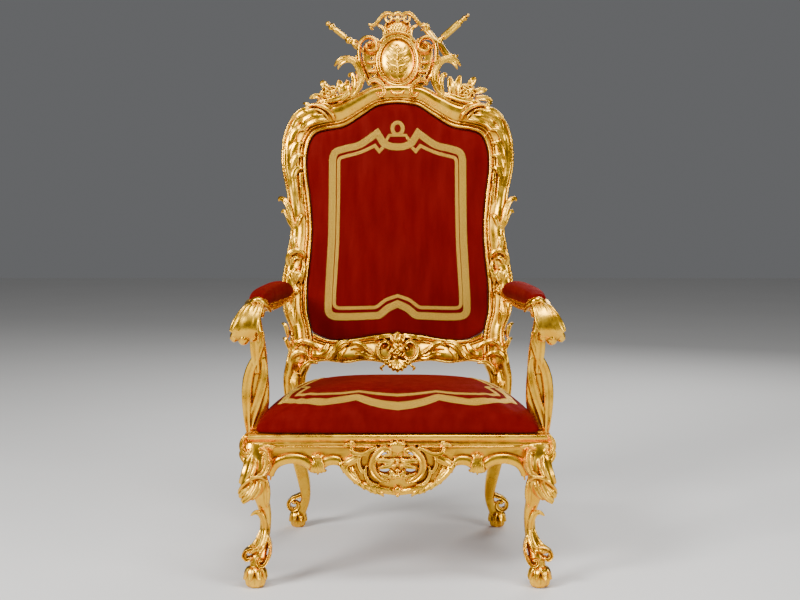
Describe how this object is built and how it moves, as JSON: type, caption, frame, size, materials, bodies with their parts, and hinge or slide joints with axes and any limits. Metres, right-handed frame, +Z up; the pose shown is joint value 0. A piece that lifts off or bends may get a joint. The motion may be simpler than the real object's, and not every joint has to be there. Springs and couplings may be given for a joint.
{
  "type": "throne",
  "caption": "High-backed carved and gilded armchair of state with a stuffed velvet seat, back and arm pads trimmed with woven braid.",
  "frame": {"origin": "on the floor, under the middle of the chair's overall box", "axes": "+Z up along the height, the sitter faces -Y, +X to the right when the chair is seen from the front"},
  "size_m": [0.9214, 0.8336, 1.6255],
  "materials": {
    "gilt_wood": "carved wood, gessoed and water-gilded over red bole, burnished on the high parts and worn darker in the hollows",
    "velvet": "deep crimson silk velvet with a short upright pile",
    "gold_braid": "flat woven braid of gold thread"
  },
  "bodies": {
    "root": {"front_leg_left": "gilt_wood", "front_leg_right": "gilt_wood", "rear_leg_stile_left": "gilt_wood", "rear_leg_stile_right": "gilt_wood", "crest_rail": "gilt_wood", "crest_cartouche": "gilt_wood", "crest_sceptre": "gilt_wood", "crest_sword": "gilt_wood", "back_bottom_rail": "gilt_wood", "front_seat_rail": "gilt_wood", "side_seat_rail_left": "gilt_wood", "side_seat_rail_right": "gilt_wood", "rear_seat_rail": "gilt_wood", "arm_left": "gilt_wood", "arm_right": "gilt_wood", "arm_support_left": "gilt_wood", "arm_support_right": "gilt_wood", "seat_upholstery": "velvet", "back_upholstery": "velvet", "back_rear_cover": "velvet", "arm_pad_left": "velvet", "arm_pad_right": "velvet", "back_braid_outer": "gold_braid", "back_braid_inner": "gold_braid", "back_braid_loop": "gold_braid", "seat_braid_outer": "gold_braid", "seat_braid_inner": "gold_braid"}
  },
  "joints": []
}
